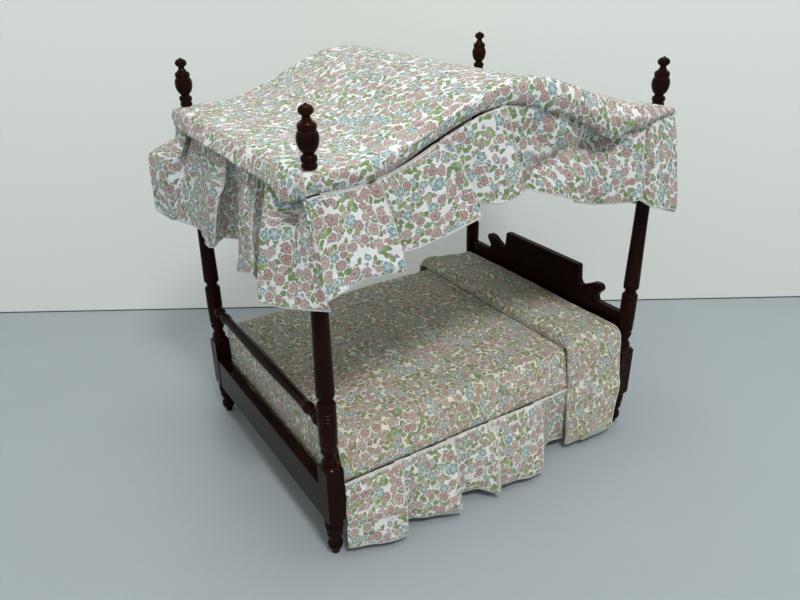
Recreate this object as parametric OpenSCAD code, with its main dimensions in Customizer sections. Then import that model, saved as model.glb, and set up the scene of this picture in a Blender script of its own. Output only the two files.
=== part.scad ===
// Miniature four poster canopy bed, 1:12 scale, in millimetres.
// Origin at the middle of the floor under the bed. +X is the right side, +Y the head end, +Z up.
// The bedstead carries the tester on four pins; the finials cap the pins.

/* [Posts] */
// Distance between post centres across the bed
post_spacing_x = 127; // [110:1:150]
// Distance between post centres along the bed
post_spacing_y = 171.4; // [150:1:200]
// Height of the turned foot below the square block
foot_h = 18; // [14:0.5:22]
// Diameter of the ball foot
foot_ball_d = 6.7; // [5.6:0.1:8]
// Side of the square block
block_w = 8; // [7.5:0.1:9]
// Height of the square block
block_h = 29; // [26:0.5:34]
// Height of the turned rings above the block
ring_h = 9; // [8:0.5:12]
// Height of the turned barrel above the rings
barrel_h = 21.5; // [20:0.5:28]
// Diameter of the barrel
barrel_d = 7.8; // [7.2:0.1:8.6]
// Height of the narrow neck under the shaft
neck_h = 1.5; // [1.2:0.1:3]
// Diameter of the narrow neck
neck_d = 5; // [4.4:0.1:6]
// Length of the plain tapered shaft
shaft_h = 82.5; // [70:0.5:95]
// Shaft diameter at its lower end
shaft_d_low = 7.6; // [6.4:0.1:8.4]
// Shaft diameter under the tester
shaft_d_top = 5.6; // [5:0.1:6.4]
// Length of the rounded shoulder at each end of the block
shoulder_l = 2.2; // [1.5:0.1:3]

/* [Pins and finials] */
// Diameter of the steel pin in the top of each post
pin_d = 2; // [1.6:0.1:2.4]
// Length of the pin inside the post
pin_in_post = 11; // [8:0.5:14]
// Length of the pin inside the finial
pin_in_finial = 6.5; // [5:0.5:7.5]
// Height of the turned finial
finial_h = 21.2; // [18:0.2:25]
// Diameter of the finial's vase
finial_vase_d = 7.8; // [7:0.1:9]
// Diameter of the finial's two base beads
finial_base_d = 5.8; // [5:0.1:6.6]
// Diameter of the finial's top ball
finial_ball_d = 5.3; // [4:0.1:6]

/* [Rails] */
// Height of the lower rails above the bottom of the block
rail_rise = 0.5; // [0.2:0.1:3]
// Height of the lower rails
rail_h = 17; // [14:0.5:20]
// Thickness of the foot and head rails
end_rail_t = 4.8; // [4:0.1:5.6]
// Thickness of the side rails
side_rail_t = 3.2; // [2.6:0.1:3.6]
// How far the end rails stand back from the outer face of the block
end_rail_setback = 0.3; // [0.1:0.1:0.6]
// How far the side rails stand back from the outer face of the block
side_rail_setback = 3.7; // [3.4:0.1:4.2]
// Rounding of the rail edges
rail_edge_r = 0.5; // [0.2:0.1:1]
// Length of the rail tenons
tenon_l = 2.8; // [2:0.1:3.2]
// Thickness of the rail tenons
tenon_t = 1.8; // [1.4:0.1:2.2]
// Shoulder above and below each rail tenon
tenon_shoulder = 3; // [2:0.5:5]

/* [Blanket rail] */
// Height of the blanket rail's axis above the bottom of the barrel
blanket_rail_rise = 9; // [8:0.5:14]
// Diameter of the balls at its ends
blanket_ball_d = 5.8; // [4.8:0.1:6.2]
// Diameter of its vases
blanket_vase_d = 5.4; // [4.6:0.1:5.8]
// Diameter in its middle
blanket_mid_d = 5.4; // [4.4:0.1:5.8]
// Diameter between its middle and its vases
blanket_waist_d = 4.4; // [3.6:0.1:5]
// Diameter of its round tenons
blanket_tenon_d = 2; // [1.6:0.1:2.4]
// Length of its round tenons inside the posts
blanket_tenon_l = 2.4; // [2:0.1:3]

/* [Headboard] */
// Thickness of the board
headboard_t = 3; // [2.4:0.1:3.6]
// Height of the board from its lower edge to its shoulders
headboard_shoulder_h = 29.8; // [26:0.1:34]
// Height of the flat crest above the shoulders
crest_rise = 15.5; // [13:0.5:20]
// Half width of the flat crest
crest_half_w = 29.5; // [24:0.5:34]
// Height of the ears above the shoulders
ear_rise = 9.8; // [8:0.2:12]
// Distance from the crest's side to the tip of the ear
ear_reach = 17; // [14:0.5:20]
// Radius of the ear's rounded tip
ear_tip_r = 2.3; // [1.6:0.1:3]

/* [Deck] */
// Height of the ledgers' lower face above the lower edge of the side rails
ledger_rise = 5.5; // [2:0.5:8]
// Height and width of the ledger strips
ledger_w = 3; // [2:0.5:4]
// Width of one slat
slat_w = 9; // [6:0.5:12]
// Thickness of one slat
slat_t = 2; // [1.5:0.1:3]

/* [Tester] */
// Depth of the tester rails
tester_rail_h = 6.2; // [5:0.1:8]
// Width of the serpentine side rails
tester_side_w = 6; // [5:0.1:8]
// Width of the straight end rails
tester_end_w = 7.4; // [6:0.1:9]
// How far the side rails reach beyond the post centres
tester_over_x = 3; // [2.6:0.1:4]
// How far the end rails reach beyond the post centres
tester_over_y = 4.3; // [3:0.1:5.5]
// Rise of the serpentine in its middle
arch_rise = 20.5; // [14:0.5:28]
// Half length of the arch along the bed
arch_half_l = 71; // [60:1:78]
// Width of one cross lath
lath_w = 4; // [3:0.5:6]
// Thickness of one cross lath
lath_t = 2; // [1.5:0.1:2.6]
// Spacing of the cross laths
lath_pitch = 26; // [20:1:30]

/* [Canopy cloth] */
// Thickness of the canopy cloth
cloth_t = 0.7; // [0.5:0.1:1]
// Depth of the flat band around the canopy
band_h = 9; // [8.5:0.5:12]
// Drop of the valance below the band at the corners
valance_drop_end = 39.5; // [30:0.5:48]
// Drop of the valance below the band under the arch
valance_drop_mid = 32; // [24:0.5:40]
// How far the valance leans out at its hem
valance_flare = 5.5; // [3:0.5:8]
// Extra depth of each pleat at the hem
valance_pleat = 4; // [2:0.5:6]
// Pleats along each side valance
side_pleats = 6; // [4:1:8]
// Pleats along each end valance
end_pleats = 4; // [3:1:6]

/* [Bedding] */
// Thickness of the mattress
mattress_h = 24.8; // [20:0.5:30]
// Thickness of the bedspread and pillow cover
spread_t = 0.8; // [0.6:0.1:1]
// How far the spread leans out over the side rails
spread_lean = 4; // [3.5:0.1:5]
// Width of the pillow section along the bed
pillow_l = 32; // [24:1:44]
// Thickness of the pillow under its cover
pillow_h = 3.4; // [2.5:0.1:6]
// Height of the skirt hem above the floor
skirt_hem_z = 4; // [2:0.5:8]
// How far the skirt leans out at its hem
skirt_flare = 3.5; // [2:0.5:6]
// Extra depth of each skirt pleat at the hem
skirt_pleat = 8; // [3:0.5:10]
// Pleats along each skirt
skirt_pleats = 4; // [3:1:6]

/* [Fits] */
// Radial clearance of the pins in the tester and the finials
pin_clearance = 0.08; // [0.04:0.01:0.1]
// Glue gap around tenons and fixed pins
glue_gap = 0.04; // [0.02:0.01:0.08]
// Gap that keeps soft pieces off their neighbours
soft_gap = 0.3; // [0.25:0.05:0.5]

/* [Hidden] */
$fn = 64;

wood = "#3b1210";
steel = "#b8b8b4";
print_cloth = "#ddd0c8";
ticking = "#e8e2d6";

// Heights of the turned members of the post
block_z = foot_h;
ring_z = block_z + block_h;
barrel_z = ring_z + ring_h;
neck_z = barrel_z + barrel_h;
block_middle_z = block_z + block_h / 2;
shaft_z = neck_z + neck_h;
post_top = shaft_z + shaft_h;
post_x = post_spacing_x / 2;
post_y = post_spacing_y / 2;

// Lower rails
rail_z = block_z + rail_rise;
rail_top = rail_z + rail_h;
end_rail_y = post_y + block_w / 2 - end_rail_setback - end_rail_t / 2;
side_rail_x = post_x + block_w / 2 - side_rail_setback - side_rail_t / 2;
side_rail_in = side_rail_x - side_rail_t / 2;
side_rail_out = side_rail_x + side_rail_t / 2;
blanket_z = barrel_z + blanket_rail_rise;
tenon_root = 1.5;
blanket_tenon_root = 0.4;

// Headboard
board_z = rail_top + glue_gap;
board_shoulder_z = board_z + headboard_shoulder_h;
board_half_w = post_x - max(block_w, barrel_d) / 2 - glue_gap;
board_tenon_l = 1.6;
board_tenon_root = 0.2;
board_tenon_t = headboard_t * 0.6;
// Lower edge and height of the two tenons at each end of the board
board_tenons = [[board_z + 2.5, 6], [board_shoulder_z - 6.5, 5]];

// Deck
slat_count = 7;
ledger_z = rail_z + ledger_rise;
deck_z = ledger_z + ledger_w + slat_t;
deck_half_l = post_y - block_w / 2 - end_rail_t;

// Tester and canopy: the serpentine is the top of the cloth
tester_z = post_top + soft_gap;
canopy_flat_z = tester_z + tester_rail_h + soft_gap + cloth_t;
tester_x = post_x + tester_over_x;
tester_y = post_y + tester_over_y;
tester_rail_x = tester_x - tester_side_w / 2;
tester_rail_y = tester_y - tester_end_w / 2;
cover_x = tester_x + soft_gap + cloth_t;
cover_y = tester_y + soft_gap + cloth_t;
finial_z = canopy_flat_z + soft_gap;
pin_top = finial_z + pin_in_finial;
pin_z = post_top - pin_in_post + glue_gap;
lath_count = 5;

// Bedding
mattress_z = deck_z + soft_gap;
mattress_top = mattress_z + mattress_h;
mattress_x = side_rail_in - soft_gap;
mattress_y = post_y - block_w / 2 - 2 * soft_gap;
spread_z = mattress_top + soft_gap;
spread_x = mattress_x + soft_gap;
spread_low = rail_top + soft_gap;
pillow_z = spread_z + spread_t + soft_gap;
pillow_y = mattress_y - pillow_l;
foot_gap_x = post_x - block_w / 2 - 2 * soft_gap;

// ---- profiles ----

// A turned bead: an elliptical bulge from z0 to z1 over a base radius
function bead(z0, z1, base, crest, n = 8) = [for (i = [0:n])
  [base + (crest - base) * sin(180 * i / n), (z0 + z1) / 2 - (z1 - z0) / 2 * cos(180 * i / n)]];
// A smooth S from one radius to another
function ease(z0, z1, r0, r1, n = 6) =
  [for (i = [0:n]) [r0 + (r1 - r0) * (1 - cos(180 * i / n)) / 2, z0 + (z1 - z0) * i / n]];
// A fine V groove
function groove(z, r, depth) = [[r, z - depth], [r - depth, z], [r, z + depth]];
// Part of an oval about height z, r wide and h high on each side, between two latitudes
function oval(z, r, h, a0, a1, n = 10) =
  [for (i = [0:n]) let (a = a0 + (a1 - a0) * i / n) [r * cos(a), z + h * sin(a)]];
// The same list without points that fall on the one before
function distinct(p) =
  [for (i = [0:len(p) - 1]) if (i == 0 || norm(p[i] - p[max(i - 1, 0)]) > 0.02) p[i]];
function arc(c, r, a0, a1, n = 6) =
  [for (i = [0:n]) let (a = a0 + (a1 - a0) * i / n) c + r * [cos(a), sin(a)]];
function mirrored(p) = [for (i = [len(p) - 1:-1:0]) [-p[i][0], p[i][1]]];
function rounded_box(w, h, r) = concat(
  arc([w / 2 - r, h / 2 - r], r, 0, 90), arc([-w / 2 + r, h / 2 - r], r, 90, 180),
  arc([-w / 2 + r, -h / 2 + r], r, 180, 270), arc([w / 2 - r, -h / 2 + r], r, 270, 360));

// The serpentine: a raised cosine over the arch, flat beyond it
function bell(y) = abs(y) < arch_half_l ? (1 + cos(180 * y / arch_half_l)) / 2 : 0;
function serpentine(y) = canopy_flat_z + arch_rise * bell(y);
function serpentine_slope(y) = abs(y) < arch_half_l
  ? atan(-arch_rise * PI / 2 / arch_half_l * sin(180 * y / arch_half_l)) : 0;
// The places along the bed where a serpentine outline has its corners
function stations(half) = let (n = 36)
  concat([-half], [for (i = [0:n]) arch_half_l * (2 * i / n - 1)], [half]);
// A strip between the serpentine lowered by a and by b
function strip(half, a, b) = concat(
  [for (y = stations(half)) [y, serpentine(y) - a]],
  [for (y = [for (i = stations(half)) -i]) [y, serpentine(y) - b]]);

module turned(profile) {
  p = distinct(profile);
  rotate_extrude() polygon(concat([[0, p[0][1]]], p, [[0, p[len(p) - 1][1]]]));
}
// Extrudes a Y-Z outline across the bed, centred on x = 0
module across(width) rotate([90, 0, 90]) linear_extrude(width, center = true) children();
// Extrudes an X-Z outline along the bed from y0 to y1
module along(y0, y1) translate([0, y1, 0]) rotate([90, 0, 0]) linear_extrude(y1 - y0) children();

// ---- posts, pins and finials ----

function foot_profile() = let (f = foot_h / 18, b = foot_ball_d / 2, r = block_w / 2) concat(
  [[b * 0.5, 0], [b * 0.5, 0.6 * f]],
  oval(4.9 * f, b, 3.9 * f, -58, 40),
  [[b * 0.76, 8.1 * f], [b * 0.78, 8.9 * f]],
  ease(9.1 * f, 10.4 * f, r * 0.72, r * 0.87, 3),
  [[r * 0.91, 13.6 * f]],
  bead(13.8 * f, 15.4 * f, r * 0.86, r * 0.98),
  bead(15.7 * f, 17.4 * f, r * 0.86, r),
  [[r * 0.86, foot_h], [r * 0.86, block_middle_z]]);
function ring_profile() = let (f = ring_h / 9, z = ring_z, r = barrel_d / 2) concat(
  [[r * 0.88, block_middle_z], [r * 0.88, z + 0.4 * f]],
  bead(z + 0.5 * f, z + 2.6 * f, r * 0.74, r * 0.87),
  ease(z + 2.7 * f, z + 4.2 * f, r * 0.72, r * 0.64, 3),
  ease(z + 4.4 * f, z + 6.3 * f, r * 0.64, r * 0.78, 4),
  bead(z + 6.4 * f, z + 8.5 * f, r * 0.78, r * 0.9),
  [[r * 0.76, z + 8.7 * f], [r * 0.76, barrel_z]]);
function barrel_profile() = let (f = barrel_h / 21.5, z = barrel_z, r = barrel_d / 2) concat(
  ease(z + 0.1, z + 1.4 * f, r * 0.86, r * 0.95, 3),
  ease(z + 2 * f, z + 11 * f, r * 0.95, r, 4),
  groove(z + 13.7 * f, r, 0.3), groove(z + 15.5 * f, r, 0.3), groove(z + 17.3 * f, r, 0.3),
  ease(z + 20.2 * f, neck_z, r, r * 0.82, 4));
function shaft_profile() = let (z = shaft_z, r0 = shaft_d_low / 2, r1 = shaft_d_top / 2) concat(
  [[neck_d / 2, neck_z + 0.05], [neck_d / 2, shaft_z]],
  ease(z + 0.1, z + 1.7, neck_d / 2 + 0.4, r0, 5),
  [[r0, z + 5], [r0 + (r1 - r0) * 0.45, z + shaft_h * 0.38], [r1, post_top]]);

module post_turning() {
  turned(concat(foot_profile(), ring_profile(), barrel_profile(), shaft_profile()));
  corner_r = block_w / 2 * sqrt(2) + 0.2;
  shoulder_r = barrel_d / 2 * 0.9;
  intersection() {
    translate([-block_w / 2, -block_w / 2, block_z]) cube([block_w, block_w, block_h]);
    turned(concat(ease(block_z, block_z + shoulder_l, shoulder_r, corner_r),
                  ease(ring_z - shoulder_l, ring_z, corner_r, shoulder_r)));
  }
}
module post(sx, sy) color(wood) difference() {
  translate([sx * post_x, sy * post_y, 0]) post_turning();
  end_rail_tenons(sy, glue_gap);
  side_rail_tenons(sx, glue_gap);
  if (sy < 0) blanket_tenons(glue_gap);
  if (sy > 0) headboard_tenons(glue_gap);
  translate([sx * post_x, sy * post_y, post_top - pin_in_post])
    cylinder(h = pin_in_post + 1, d = pin_d + 2 * glue_gap);
}
module pin(sx, sy) color(steel) translate([sx * post_x, sy * post_y, pin_z]) {
  pin_l = pin_top - pin_z;
  round_r = pin_d / 6;
  turned([[pin_d / 2, 0], [pin_d / 2, pin_l - round_r], [pin_d / 2 - round_r, pin_l]]);
}
function finial_profile() =
  let (f = finial_h / 21.6, b = finial_base_d / 2, v = finial_vase_d / 2, k = finial_ball_d / 2)
  concat(
    [[b * 0.78, 0]],
    bead(0.1 * f, 1.9 * f, b * 0.78, b * 0.95),
    bead(2.1 * f, 4.6 * f, b * 0.78, b),
    [[v * 0.5, 4.8 * f], [v * 0.49, 5.2 * f]],
    oval(10.2 * f, v, 5.7 * f, -60, 0, 8),
    oval(10.2 * f, v, 4.5 * f, 5, 31, 4),
    [[v * 0.8, 12.7 * f]],
    bead(12.9 * f, 15.1 * f, v * 0.76, v * 0.85),
    [[k * 1.04, 15.4 * f], [k * 0.82, 15.7 * f], [k * 0.66, 16.2 * f], [k * 0.54, 16.8 * f]],
    [[k * 0.5, 17.4 * f]],
    oval(19.3 * f, k, 2 * f, -60, 80),
    [[k * 0.2, finial_h]]);
module finial(sx, sy) color(wood) translate([sx * post_x, sy * post_y, finial_z]) difference() {
  turned(finial_profile());
  translate([0, 0, -1]) cylinder(h = pin_in_finial + 1.5, d = pin_d + 2 * pin_clearance);
}

// ---- lower rails ----

// A tenon along X whose root lies inside its rail, on the left of the shoulder at x = 0
module rail_tenon(grow) {
  tall = rail_h - 2 * tenon_shoulder;
  translate([-tenon_root, -tenon_t / 2 - grow, -tall / 2 - grow])
    cube([tenon_root + tenon_l + grow, tenon_t + 2 * grow, tall + 2 * grow]);
}
module end_rail_tenons(sy, grow) for (side = [0, 180])
  translate([0, sy * end_rail_y, rail_z + rail_h / 2]) rotate([0, 0, side])
    translate([post_x - block_w / 2, 0, 0]) rail_tenon(grow);
module side_rail_tenons(sx, grow) for (side = [90, 270])
  translate([sx * side_rail_x, 0, rail_z + rail_h / 2]) rotate([0, 0, side])
    translate([post_y - block_w / 2, 0, 0]) rail_tenon(grow);
module end_rail(sy) color(wood) {
  translate([0, sy * end_rail_y, rail_z + rail_h / 2])
    across(post_spacing_x - block_w - 2 * glue_gap) polygon(rounded_box(end_rail_t, rail_h, rail_edge_r));
  end_rail_tenons(sy, 0);
}
module side_rail(sx) color(wood) {
  reach = post_y - block_w / 2 - glue_gap;
  translate([sx * side_rail_x, 0, rail_z + rail_h / 2])
    along(-reach, reach) polygon(rounded_box(side_rail_t, rail_h, rail_edge_r));
  side_rail_tenons(sx, 0);
}

// ---- blanket rail ----

module blanket_tenons(grow) for (sx = [-1, 1])
  translate([sx * (post_x - barrel_d / 2 + blanket_tenon_l / 2), -post_y, blanket_z])
    rotate([0, 90, 0])
      cylinder(h = blanket_tenon_l + 2 * (grow + blanket_tenon_root),
               d = blanket_tenon_d + 2 * grow, center = true);
// Half of the rail, from its middle to the post
function blanket_half(reach) =
  let (m = blanket_mid_d / 2, w = blanket_waist_d / 2, v = blanket_vase_d / 2, b = blanket_ball_d / 2)
  concat(
    [[m, 0]],
    ease(4, reach - 20, m, w, 8),
    ease(reach - 17, reach - 12.5, w, v, 4),
    ease(reach - 12.4, reach - 8.4, v, v * 0.7, 4),
    bead(reach - 8.2, reach - 6.8, v * 0.62, v * 0.8, 4),
    [[v * 0.56, reach - 6.4]],
    bead(reach - 6.2, reach - 0.6, b * 0.5, b, 10),
    [[b * 0.6, reach - 0.5], [b * 0.6, reach]]);
module blanket_rail() color(wood) {
  reach = post_x - barrel_d / 2 - glue_gap;
  half = blanket_half(reach);
  translate([0, -post_y, blanket_z]) rotate([0, 90, 0])
    turned(concat([for (i = [len(half) - 1:-1:1]) [half[i][0], -half[i][1]]], half));
  blanket_tenons(0);
}

// ---- headboard ----

module headboard_tenons(grow) for (sx = [-1, 1], t = board_tenons)
  translate([sx * (board_half_w + board_tenon_l / 2), post_y, t[0] + t[1] / 2])
    cube([board_tenon_l + 2 * (grow + board_tenon_root), board_tenon_t + 2 * grow, t[1] + 2 * grow],
         center = true);
// Right half of the scroll-cut upper edge, from the crest to the post
function headboard_edge() =
  let (s = board_shoulder_z, crest = s + crest_rise, root = [crest_half_w + 3, s + ear_rise * 0.52],
       tip = [crest_half_w + ear_reach - ear_tip_r, s + ear_rise - ear_tip_r])
  concat(
    arc([crest_half_w - 1.2, crest - 1.2], 1.2, 90, 5, 4),
    [[crest_half_w + 0.6, root[1] + 2.4]],
    arc(root + [0, 2], 2, 190, 278, 4),
    [tip + [-3.4, ear_tip_r * 0.86]],
    arc(tip, ear_tip_r, 96, -62, 7),
    arc(tip + [1.9, -5.2], 2.6, 130, 232, 5),
    [[tip[0] + 1.6, s]],
    [[board_half_w, s]]);
module headboard() color(wood) {
  edge = headboard_edge();
  translate([0, post_y + headboard_t / 2, 0]) rotate([90, 0, 0]) linear_extrude(headboard_t)
    polygon(concat(edge, [[board_half_w, board_z], [-board_half_w, board_z]], mirrored(edge)));
  headboard_tenons(0);
}

// ---- deck ----

module ledger(sx) color(wood)
  translate([sx * (side_rail_in - ledger_w / 2), 0, ledger_z + ledger_w / 2])
    cube([ledger_w, 2 * deck_half_l, ledger_w], center = true);
function slat_y(i) = (deck_half_l - slat_w / 2) * (2 * (i - 1) / (slat_count - 1) - 1);
module slat(i) color(wood)
  translate([0, slat_y(i), deck_z - slat_t / 2])
    cube([2 * (side_rail_in - glue_gap), slat_w, slat_t], center = true);

// ---- tester ----

module tester_bores() for (sx = [-1, 1], sy = [-1, 1])
  translate([sx * post_x, sy * post_y, tester_z - 1])
    cylinder(h = tester_rail_h + 2, d = pin_d + 2 * pin_clearance);
function lath_y(i) = (i - (lath_count + 1) / 2) * lath_pitch;
// Places its children with the lath's top face on the rails' upper edge
module at_lath(i) translate([0, lath_y(i), serpentine(lath_y(i)) - cloth_t - soft_gap])
  rotate([serpentine_slope(lath_y(i)), 0, 0]) children();
module lath(i) color(wood) at_lath(i)
  translate([-tester_x, -lath_w / 2, -lath_t - glue_gap]) cube([2 * tester_x, lath_w, lath_t]);
// The cut of a half lap at a corner: w wide, l long, in the lower or the upper half of the rails
module lap_cut(sx, sy, w, l, upper)
  translate([sx * tester_rail_x, sy * tester_rail_y, tester_z + tester_rail_h * (upper ? 0.75 : 0.25)])
    cube([w, l, tester_rail_h / 2 + 2 * glue_gap], center = true);
module tester_side(sx) color(wood) difference() {
  translate([sx * tester_rail_x, 0, 0]) across(tester_side_w)
    polygon(strip(tester_y, cloth_t + soft_gap, cloth_t + soft_gap + tester_rail_h));
  for (sy = [-1, 1]) lap_cut(sx, sy, tester_side_w + 2, tester_end_w + 2 * glue_gap, false);
  for (i = [1:lath_count]) at_lath(i)
    translate([-tester_x - 1, -lath_w / 2 - glue_gap, -lath_t - 2 * glue_gap])
      cube([2 * tester_x + 2, lath_w + 2 * glue_gap, lath_t + 3]);
  tester_bores();
}
module tester_end(sy) color(wood) difference() {
  translate([0, sy * tester_rail_y, tester_z + tester_rail_h / 2])
    cube([2 * tester_x, tester_end_w, tester_rail_h], center = true);
  for (sx = [-1, 1]) lap_cut(sx, sy, tester_side_w + 2 * glue_gap, tester_end_w + 2, true);
  tester_bores();
}

// ---- canopy cloth ----

module canopy_cover() color(print_cloth) difference() {
  across(2 * cover_x) polygon(strip(cover_y, 0, band_h));
  across(2 * (cover_x - cloth_t)) polygon(strip(cover_y - cloth_t, cloth_t, band_h + 5));
  for (sx = [-1, 1], sy = [-1, 1])
    translate([sx * post_x, sy * post_y, canopy_flat_z - cloth_t - 1])
      cylinder(h = cloth_t + 2, d = pin_d + 2 * soft_gap);
}

// How far a knife pleat stands out, 0 to 1, over one pitch
function pleat(s) = let (p = s - floor(s), turn = 0.8)
  p < turn ? (1 - cos(180 * p / turn)) / 2 : 1 - (p - turn) / (1 - turn);
// A pleated cloth panel as one closed solid. u runs along the panel and v outwards.
module pleated_panel(half, base, flare, depth, pleats, tops, hems, spread, thick) {
  cols = pleats * 6;
  rows = 3;
  function at(i, j, back) = let (
      t = i / rows, s = j / cols, u0 = half * (2 * s - 1),
      z0 = lookup(u0, tops), z1 = lookup(u0, hems),
      out = base + t * (flare + depth * pleat(s * pleats * 0.999)))
    [out - back, u0 + spread * t * u0 / half, z0 + (z1 - z0) * t];
  function id(i, j, side) = side * (rows + 1) * (cols + 1) + i * (cols + 1) + j;
  points = [for (side = [0, 1]) for (i = [0:rows]) for (j = [0:cols]) at(i, j, side * thick)];
  function quad(a, b, c, d) = [[a, b, c], [a, c, d]];
  function front(i, j) = quad(id(i, j, 0), id(i, j + 1, 0), id(i + 1, j + 1, 0), id(i + 1, j, 0));
  function back(i, j) = quad(id(i, j, 1), id(i + 1, j, 1), id(i + 1, j + 1, 1), id(i, j + 1, 1));
  function top_edge(j) = quad(id(0, j, 0), id(0, j, 1), id(0, j + 1, 1), id(0, j + 1, 0));
  function hem_edge(j) = quad(id(rows, j, 0), id(rows, j + 1, 0), id(rows, j + 1, 1), id(rows, j, 1));
  function end_edge(i, j, a, b) = quad(id(i, j, a), id(i + 1, j, a), id(i + 1, j, b), id(i, j, b));
  faces = concat(
    [for (i = [0:rows - 1], j = [0:cols - 1], q = concat(front(i, j), back(i, j))) q],
    [for (j = [0:cols - 1], q = concat(top_edge(j), hem_edge(j))) q],
    [for (i = [0:rows - 1], q = concat(end_edge(i, 0, 0, 1), end_edge(i, cols, 1, 0))) q]);
  polyhedron(points, faces);
}
function valance_top(y) = serpentine(y) - band_h - soft_gap;
function valance_drop(y) = valance_drop_end + (valance_drop_mid - valance_drop_end) * bell(y);
function valance_hem(y) = valance_top(y) - valance_drop(y);
module valance_side(sx) color(print_cloth) mirror([sx < 0 ? 1 : 0, 0, 0])
  pleated_panel(cover_y, cover_x, valance_flare, valance_pleat, side_pleats,
                [for (y = stations(cover_y)) [y, valance_top(y)]],
                [for (y = stations(cover_y)) [y, valance_hem(y)]],
                valance_flare - 2 * cloth_t, cloth_t);
module valance_end(sy) color(print_cloth) mirror([0, sy < 0 ? 1 : 0, 0]) rotate([0, 0, 90])
  pleated_panel(cover_x, cover_y, valance_flare, valance_pleat, end_pleats,
                [[-cover_x, valance_top(cover_y)], [cover_x, valance_top(cover_y)]],
                [[-cover_x, valance_hem(cover_y)], [cover_x, valance_hem(cover_y)]],
                valance_flare - 2 * cloth_t, cloth_t);

// ---- bedding ----

module mattress() color(ticking)
  translate([0, 0, mattress_z]) linear_extrude(mattress_h)
    polygon(rounded_box(2 * mattress_x, 2 * mattress_y, 1.5));
// Cross section of a cloth that lies over the bed and leans out at its sides
function staple(top, x, low, lean, t) = [
  [x + t, top + t], [x + t + lean, low], [x + lean, low], [x, top],
  [-x, top], [-x - lean, low], [-x - t - lean, low], [-x - t, top + t]];
module bedspread() color(print_cloth) {
  foot_y = mattress_y + soft_gap;
  along(-mattress_y, mattress_y) polygon(staple(spread_z, spread_x, spread_low, spread_lean, spread_t));
  translate([-foot_gap_x, -foot_y - spread_t, rail_top - 5])
    cube([2 * foot_gap_x, spread_t, spread_z + spread_t - rail_top + 5]);
  translate([-foot_gap_x, -foot_y - spread_t, spread_z])
    cube([2 * foot_gap_x, spread_t + 4 * soft_gap, spread_t]);
}
module pillow() color(ticking) {
  half_l = (pillow_l - 4 * soft_gap - spread_t) / 2;
  translate([0, mattress_y - half_l - soft_gap, pillow_z + pillow_h / 2]) across(2 * (spread_x - 2))
    polygon(rounded_box(2 * half_l, pillow_h, pillow_h * 0.45));
}
// One side of the pillow cover, from its top down to its hem
function cover_side(x, top, lean, low) =
  [[x, top], [x + lean, spread_low - 2], [x + lean + 1, low]];
module pillow_cover() color(print_cloth) {
  inner_x = spread_x + spread_t + soft_gap;
  top = pillow_z + pillow_h + soft_gap;
  low = skirt_hem_z + 1;
  outer = cover_side(inner_x + spread_t, top + spread_t, spread_lean, low);
  inner = cover_side(inner_x, top, spread_lean, low);
  half = concat(outer, [for (i = [2:-1:0]) inner[i]]);
  along(pillow_y, mattress_y) polygon(concat(half, mirrored(half)));
  translate([-inner_x - spread_t / 2, pillow_y, pillow_z])
    cube([2 * inner_x + spread_t, spread_t, top - pillow_z + spread_t / 2]);
}
module skirt(sx) color(print_cloth) mirror([sx < 0 ? 1 : 0, 0, 0]) {
  y0 = -mattress_y;
  y1 = pillow_y - 2 * soft_gap;
  half = (y1 - y0) / 2;
  translate([0, (y0 + y1) / 2, 0])
    pleated_panel(half, spread_x + spread_lean + spread_t, skirt_flare, skirt_pleat, skirt_pleats,
                  [[-half, spread_low - soft_gap], [half, spread_low - soft_gap]],
                  [[-half, skirt_hem_z], [half, skirt_hem_z]], 0, spread_t);
}

post(1, -1);  // post_foot_right
post(-1, -1);  // post_foot_left
post(1, 1);  // post_head_right
post(-1, 1);  // post_head_left
pin(1, -1);  // pin_foot_right
pin(-1, -1);  // pin_foot_left
pin(1, 1);  // pin_head_right
pin(-1, 1);  // pin_head_left
end_rail(-1);  // foot_rail
end_rail(1);  // head_rail
side_rail(1);  // side_rail_right
side_rail(-1);  // side_rail_left
headboard();
blanket_rail();
ledger(1);  // ledger_right
ledger(-1);  // ledger_left
slat(1);  // slat_1
slat(2);  // slat_2
slat(3);  // slat_3
slat(4);  // slat_4
slat(5);  // slat_5
slat(6);  // slat_6
slat(7);  // slat_7
tester_side(1);  // tester_side_right
tester_side(-1);  // tester_side_left
tester_end(-1);  // tester_end_foot
tester_end(1);  // tester_end_head
lath(1);  // lath_1
lath(2);  // lath_2
lath(3);  // lath_3
lath(4);  // lath_4
lath(5);  // lath_5
canopy_cover();
valance_side(1);  // valance_right
valance_side(-1);  // valance_left
valance_end(-1);  // valance_foot
valance_end(1);  // valance_head
finial(1, -1);  // finial_foot_right
finial(-1, -1);  // finial_foot_left
finial(1, 1);  // finial_head_right
finial(-1, 1);  // finial_head_left
mattress();
bedspread();
pillow();
pillow_cover();
skirt(1);  // skirt_right
skirt(-1);  // skirt_left
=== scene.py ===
"""The looks of a 1:12 scale four poster canopy bed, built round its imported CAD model."""
import math
from functools import cache, partialmethod

import bpy
import numpy as np
from mathutils import Matrix, Vector, noise
from mathutils.kdtree import KDTree


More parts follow.
